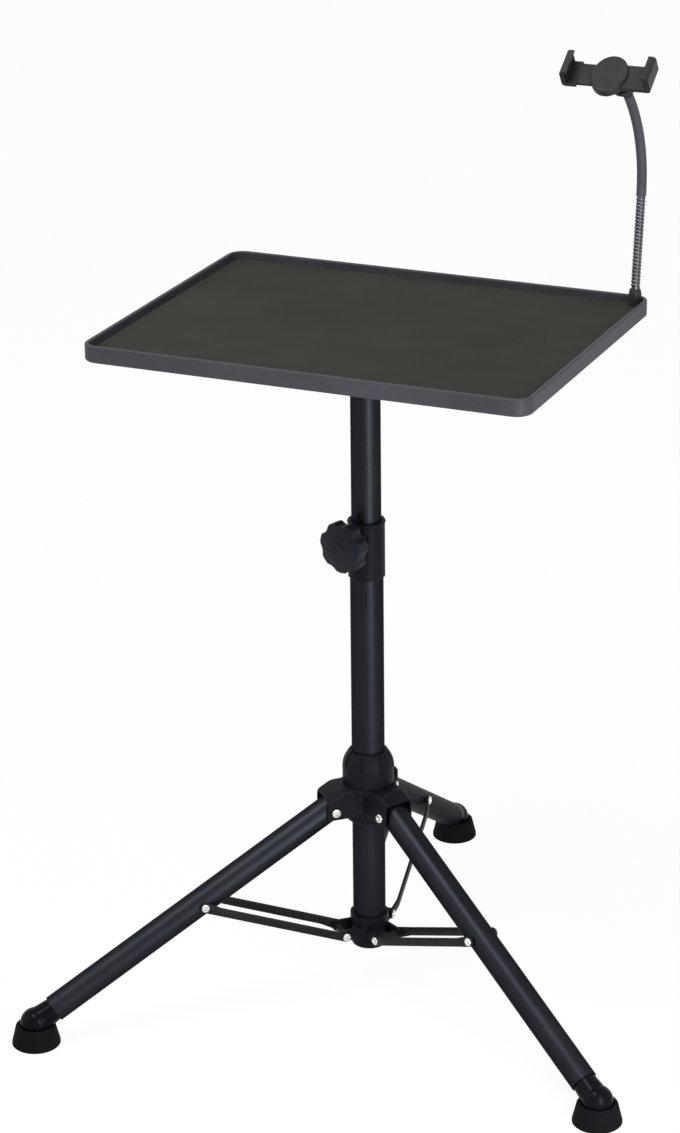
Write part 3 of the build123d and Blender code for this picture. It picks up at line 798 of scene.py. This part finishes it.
def onEachLeg(piece, name, body, slotName, node="", angle=35):
    for side, azimuth in tripod["azimuths"].items():
        twin = copyOf(piece, name)
        settle(twin, Matrix.Rotation(math.radians(azimuth), 4, "Z"))
        handOver(twin, name + side.capitalize(), body + side, slotName, angle)
        if node:
            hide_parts(node + side)
    bpy.data.objects.remove(piece, do_unlink=True)


strutBars = {
    "offset": 0.0128,
    "thickness": 0.002,
    "endHeight": 0.009,
    "slimming": 0.8,
    "bows": ((0.007, 0.0012), (0.013, 0.0012)),
    "cuts": 23,
    "endRound": 0.49,
    "endSteps": 5,
    "edge": 0.0003,
}


def makeStrutBars(bar):
    (startReach, startHeight), (endReach, endHeight) = tripod["collarPivot"], tripod["legPivot"]
    run = endReach - startReach
    climb = endHeight - startHeight
    length = math.hypot(run, climb)
    whole = length + bar["endHeight"]
    bpy.ops.object.select_all(action="DESELECT")
    bpy.ops.mesh.primitive_cube_add(size=1, scale=(whole, bar["thickness"], bar["endHeight"]))
    piece = bpy.context.object
    settle(piece)
    selectEdges(piece, lambda a, b: abs(a.x - b.x) > length / 2)
    bpy.ops.mesh.subdivide(number_cuts=bar["cuts"])
    bpy.ops.object.mode_set(mode="OBJECT")
    selectEdges(piece, lambda a, b: abs(a.y - b.y) > bar["thickness"] / 2 and abs(a.x) > length / 2)
    rounding = bar["endRound"] * bar["endHeight"]
    bpy.ops.mesh.bevel(offset=rounding, segments=bar["endSteps"], affect="EDGES")
    bpy.ops.object.mode_set(mode="OBJECT")
    for endRun, push in bar["bows"]:  # each step bends a shorter run further out
        middle = length / 2 - endRun
        selectEdges(piece, lambda a, b: abs(a.x) < middle and abs(b.x) < middle)
        bpy.ops.transform.resize(value=(1, 1, bar["slimming"] ** (1 / len(bar["bows"]))))
        bpy.ops.transform.translate(value=(0, push, 0))
        bpy.ops.object.mode_set(mode="OBJECT")
    selectFaces(piece, anyFace)
    leaveEdit()
    roundEdges(piece, bar["edge"])
    settle(piece, Matrix.Translation((0, bar["offset"], 0)))
    partner = copyOf(piece, "strutBar")
    settle(partner, Matrix.Rotation(math.pi, 4, "X"))
    joinTo(piece, [partner])
    lean = Matrix.Rotation(-math.atan2(climb, run), 4, "Y")
    settle(piece, Matrix.Translation((startReach + run / 2, 0, startHeight + climb / 2)) @ lean)
    return piece


onEachLeg(makeStrutBars(strutBars), "strutBars", "strut_", "bar_paint", "strut_bars_")
print("strut bars bowed")


# rivets with rolled ends, and the dark sleeves on the collar's pins

rivets = {
    "headHeight": 0.0016,
    "headEdge": 0.0011,
    "dimpleRadius": 0.0014,
    "dimpleWall": 0.0004,
    "dimpleDepth": 0.0009,
    "sides": 32,
    "edgeSteps": 5,
    "flatTop": 0.99,
    "pinSides": 24,
    "strut": {"headRadius": 0.0036, "pinRadius": 0.002, "seat": 0.0138, "inner": 0.0118},
    "hub": {"headRadius": 0.004, "pinRadius": 0.0025, "seat": 0.0148},
}


def makeRivetHead(rivet, radius):
    bpy.ops.object.select_all(action="DESELECT")
    bpy.ops.mesh.primitive_cylinder_add(
        vertices=rivet["sides"], radius=radius, depth=rivet["headHeight"]
    )
    head = bpy.context.object
    selectFaces(head, facesUp)
    bpy.ops.mesh.bevel(offset=rivet["headEdge"], segments=rivet["edgeSteps"], affect="EDGES")
    bpy.ops.object.mode_set(mode="OBJECT")
    selectFaces(head, lambda centre, normal: normal.z > rivet["flatTop"])
    bpy.ops.mesh.inset(thickness=radius - rivet["headEdge"] - rivet["dimpleRadius"])
    bpy.ops.mesh.inset(thickness=rivet["dimpleWall"], depth=-rivet["dimpleDepth"])
    leaveEdit()
    return head


def addPin(pivot, radius, start, end):
    reach, height = pivot
    bpy.ops.object.select_all(action="DESELECT")
    bpy.ops.mesh.primitive_cylinder_add(
        vertices=rivets["pinSides"], radius=radius, depth=end - start,
        location=(reach, (start + end) / 2, height), rotation=(math.pi / 2, 0, 0),
    )
    pin = bpy.context.object
    settle(pin)
    return pin


def makeRivet(rivet, size, pivot, through):
    reach, height = pivot
    tip = size["seat"] + rivet["headHeight"] / 4  # a pin ends inside its head
    first = makeRivetHead(rivet, size["headRadius"])
    pieces = []
    for side in (-1, 1):
        head = copyOf(first, "rivetHead")
        seat = Matrix.Translation((reach, side * (size["seat"] + rivet["headHeight"] / 2), height))
        settle(head, seat @ Matrix.Rotation(-side * math.pi / 2, 4, "X"))
        pieces.append(head)
        if not through:
            start, end = sorted((side * size["inner"], side * tip))
            pieces.append(addPin(pivot, size["pinRadius"], start, end))
    if through:
        pieces.append(addPin(pivot, size["pinRadius"], -tip, tip))
    bpy.data.objects.remove(first, do_unlink=True)
    joinTo(pieces[0], pieces[1:])
    return pieces[0]


strutRivets = makeRivet(rivets, rivets["strut"], tripod["collarPivot"], True)
joinTo(strutRivets, [makeRivet(rivets, rivets["strut"], tripod["legPivot"], False)])
onEachLeg(strutRivets, "strutRivets", "strut_", "rivet_steel", "strut_rivets_")
hubRivet = makeRivet(rivets, rivets["hub"], tripod["hubPivot"], True)
onEachLeg(hubRivet, "hubRivet", "leg_", "rivet_steel", "leg_rivet_")
print("rivets rolled")


pinSleeve = {"radius": 0.003, "half": 0.0088, "edge": 0.0004, "waist": 0.86, "cuts": 4}


def makePinSleeve(sleeve):
    piece = addPin((0, 0), sleeve["radius"], -sleeve["half"], sleeve["half"])
    selectEdges(piece, lambda a, b: abs(a.y - b.y) > sleeve["half"])
    bpy.ops.mesh.subdivide(number_cuts=sleeve["cuts"])
    bpy.ops.object.mode_set(mode="OBJECT")
    middle = sleeve["half"] / 2
    selectEdges(piece, lambda a, b: abs(a.y) < middle and abs(b.y) < middle)
    bpy.ops.transform.resize(value=(sleeve["waist"], 1, sleeve["waist"]))
    leaveEdit()
    roundEdges(piece, sleeve["edge"])
    reach, height = tripod["collarPivot"]
    settle(piece, Matrix.Translation((reach, 0, height)))
    return piece


onEachLeg(makePinSleeve(pinSleeve), "pinSleeve", "strut_", "bar_paint")
print("pins sleeved")


# ankles blended from ball to neck, cut free of their cups

ankleElbow = {
    "ballRadius": 0.013,
    "shoulderRadius": 0.0119,
    "neckRadius": 0.0096,
    "neckReach": 0.024,
    "voxel": 0.0005,
    "rounds": 12,
    "keep": 0.4,
    "cupTop": 0.0173,
    "cupRadius": 0.022,
    "socketRadius": 0.01306,
    "sides": 48,
    "rings": 24,
    "cupSides": 64,
    "smooth": 40,
}


def makeAnkleElbow(elbow):
    reach, height = tripod["ball"]
    bpy.ops.object.select_all(action="DESELECT")
    bpy.ops.mesh.primitive_uv_sphere_add(
        segments=elbow["sides"], ring_count=elbow["rings"], radius=elbow["ballRadius"]
    )
    piece = bpy.context.object
    bpy.ops.object.select_all(action="DESELECT")
    bpy.ops.mesh.primitive_cone_add(
        vertices=elbow["sides"], radius1=elbow["shoulderRadius"], radius2=elbow["neckRadius"],
        depth=elbow["neckReach"], location=(0, 0, elbow["neckReach"] / 2),
    )
    neck = bpy.context.object
    settle(neck)
    cutWith(piece, neck, "UNION")
    soften(piece, elbow["voxel"], elbow["rounds"], elbow["keep"])
    lean = Matrix.Rotation(math.radians(-tripod["legAngle"]), 4, "Y")
    settle(piece, Matrix.Translation((reach, 0, height)) @ lean)
    bpy.ops.object.select_all(action="DESELECT")
    bpy.ops.mesh.primitive_cylinder_add(
        vertices=elbow["cupSides"], radius=elbow["cupRadius"], depth=elbow["cupTop"],
        location=(reach, 0, elbow["cupTop"] / 2),
    )
    cup = bpy.context.object
    settle(cup)
    bpy.ops.object.select_all(action="DESELECT")
    bpy.ops.mesh.primitive_uv_sphere_add(
        segments=elbow["sides"], ring_count=elbow["rings"], radius=elbow["socketRadius"],
        location=(reach, 0, height),
    )
    socket = bpy.context.object
    settle(socket)
    cutWith(cup, socket, "DIFFERENCE")
    cutWith(piece, cup, "DIFFERENCE")
    return piece


ankle = makeAnkleElbow(ankleElbow)
onEachLeg(ankle, "ankleElbow", "leg_", "ankle_plastic", "ankle_", ankleElbow["smooth"])
print("ankles blended")


# rolled lip round the socket of each foot

footLip = {
    "ringRadius": 0.0151,
    "thickness": 0.0014,
    "top": 0.017,
    "flattening": 0.8,
    "skirt": 0.0012,
    "skirtFrom": 0.6,
    "ringSides": 64,
    "sides": 12,
    "smooth": 60,
}


def makeFootLip(lip):
    bpy.ops.object.select_all(action="DESELECT")
    bpy.ops.mesh.primitive_torus_add(
        major_segments=lip["ringSides"], minor_segments=lip["sides"],
        major_radius=lip["ringRadius"], minor_radius=lip["thickness"],
    )
    piece = bpy.context.object
    selectFaces(piece, anyFace)
    bpy.ops.transform.resize(value=(1, 1, lip["flattening"]))
    bpy.ops.object.mode_set(mode="OBJECT")
    selectFaces(piece, lambda centre, normal: normal.z < -lip["skirtFrom"])
    bpy.ops.mesh.extrude_region_move(TRANSFORM_OT_translate={"value": (0, 0, -lip["skirt"])})
    leaveEdit()
    settle(piece, Matrix.Translation((tripod["ball"][0], 0, lip["top"])))
    return piece


onEachLeg(makeFootLip(footLip), "footLip", "foot_", "foot_rubber", "", footLip["smooth"])
print("feet lipped")


# cross-head screws that hold the flange to the tray's floor

flangeScrews = {
    "ringRadius": 0.047,
    "underside": 0.585,
    "azimuths": (0, 90, 180, 270),
    "headRadius": 0.0036,
    "headHeight": 0.0021,
    "crown": 0.0009,
    "crossLength": 0.0042,
    "crossWidth": 0.0009,
    "crossDepth": 0.0013,
    "sides": 28,
    "crownSteps": 4,
    "firstTurn": 0.4,
    "nextTurn": 0.7,
}


def makeScrewHead(screw):
    height = screw["headHeight"]
    bpy.ops.object.select_all(action="DESELECT")
    bpy.ops.mesh.primitive_cylinder_add(
        vertices=screw["sides"], radius=screw["headRadius"], depth=height, location=(0, 0, -height / 2)
    )
    head = bpy.context.object
    settle(head)
    selectFaces(head, facesDown)
    bpy.ops.mesh.bevel(offset=screw["crown"], segments=screw["crownSteps"])
    leaveEdit()
    for turn in (0, math.pi / 2):
        bpy.ops.object.select_all(action="DESELECT")
        bpy.ops.mesh.primitive_cube_add(
            size=1, location=(0, 0, -height), rotation=(0, 0, turn),
            scale=(screw["crossLength"], screw["crossWidth"], 2 * screw["crossDepth"]),
        )
        slot = bpy.context.object
        settle(slot)
        cutWith(head, slot, "DIFFERENCE")
    return head


def makeFlangeScrews(screw):
    first = makeScrewHead(screw)
    for number, azimuth in enumerate(screw["azimuths"]):
        head = copyOf(first, "flangeScrew")
        spot = Matrix.Rotation(math.radians(azimuth), 4, "Z")
        spot = spot @ Matrix.Translation((screw["ringRadius"], 0, screw["underside"]))
        settle(head, spot @ Matrix.Rotation(screw["firstTurn"] + screw["nextTurn"] * number, 4, "Z"))
        handOver(head, "flangeScrew" + str(number + 1), "mast", "screw_steel")
    bpy.data.objects.remove(first, do_unlink=True)


makeFlangeScrews(flangeScrews)
print("flange screws in")


# grip pads and swivel nut of the holder

holderGrip = {
    "discCentre": (0.164493, 0.121918, 0.780764),
    "ballOffset": 0.01,
    "across": (1, 0, 0),
    "up": (0, 0.819152, 0.573576),
    "front": (0, -0.573576, 0.819152),
    "clawInner": 0.0335,
    "padFloor": 0.0111,
    "padTop": 0.0217,
    "padHeight": 0.024,
    "padThickness": 0.0015,
    "ribDepth": 0.0006,
    "ribCount": 7,
    "nutRadius": 0.0096,
    "nutWall": 0.0011,
    "nutHeight": 0.0042,
    "nutBack": -0.0022,
    "nutTeeth": 40,
    "toothDepth": 0.00035,
    "toothInset": 0.00012,
    "padEdge": 0.00018,
}


def holderPlace(grip):
    sides = Matrix((grip["across"], grip["up"], grip["front"])).transposed().to_4x4()
    return Matrix.Translation(grip["discCentre"]) @ sides


def makeGripPad(grip, side):
    base = grip["padThickness"] - grip["ribDepth"]
    depth = grip["padTop"] - grip["padFloor"]
    height = grip["padHeight"]
    middle = (grip["clawInner"] - base / 2, 0, (grip["padTop"] + grip["padFloor"]) / 2)
    bpy.ops.object.select_all(action="DESELECT")
    bpy.ops.mesh.primitive_cube_add(size=1, location=middle, scale=(base, height, depth))
    pad = bpy.context.object
    settle(pad)
    selectEdges(pad, lambda a, b: abs(a.y - b.y) > height / 2)
    bpy.ops.mesh.subdivide(number_cuts=2 * grip["ribCount"])
    bpy.ops.object.mode_set(mode="OBJECT")
    step = height / (2 * grip["ribCount"] + 1)

    def isRib(centre, normal):
        return normal.x < -0.9 and int((centre.y / height + 0.5) * height / step) % 2 == 1

    selectFaces(pad, isRib)
    bpy.ops.mesh.extrude_region_move(TRANSFORM_OT_translate={"value": (-grip["ribDepth"], 0, 0)})
    leaveEdit()
    roundEdges(pad, grip["padEdge"])
    if side < 0:
        settle(pad, Matrix.Rotation(math.pi, 4, "Z"))
    settle(pad, holderPlace(grip))
    return pad


def makeSwivelNut(grip):
    bpy.ops.object.select_all(action="DESELECT")
    bpy.ops.mesh.primitive_circle_add(vertices=grip["nutTeeth"], radius=grip["nutRadius"])
    nut = bpy.context.object
    selectEdges(nut, lambda a, b: True)
    bpy.ops.mesh.extrude_region_move(TRANSFORM_OT_translate={"value": (0, 0, grip["nutHeight"])})
    leaveEdit()
    useModifier(nut, "SOLIDIFY", {"thickness": grip["nutWall"], "offset": -1})
    turnStep = 2 * math.pi / grip["nutTeeth"]
    reach = grip["nutRadius"] - grip["nutWall"] / 2

    def isTooth(centre, normal):
        outside = abs(normal.z) < 0.1 and math.hypot(centre.x, centre.y) > reach
        return outside and int(math.atan2(centre.y, centre.x) % (2 * math.pi) / turnStep) % 2 == 0

    selectFaces(nut, isTooth)
    bpy.ops.mesh.inset(thickness=grip["toothInset"], use_individual=True)
    bpy.ops.mesh.extrude_faces_move(TRANSFORM_OT_shrink_fatten={"value": grip["toothDepth"]})
    leaveEdit()
    settle(nut, holderPlace(grip) @ Matrix.Translation((grip["ballOffset"], 0, grip["nutBack"])))
    return nut


rightPad = makeGripPad(holderGrip, 1)
handOver(rightPad, "gripPadRight", "phone_holder", "pad_rubber")
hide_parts("holder_pad_right")
leftPad = makeGripPad(holderGrip, -1)
handOver(leftPad, "gripPadLeft", "holder_jaw", "pad_rubber")
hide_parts("holder_pad_left")
handOver(makeSwivelNut(holderGrip), "swivelNut", "phone_holder", "holder_plastic")
print("holder dressed")
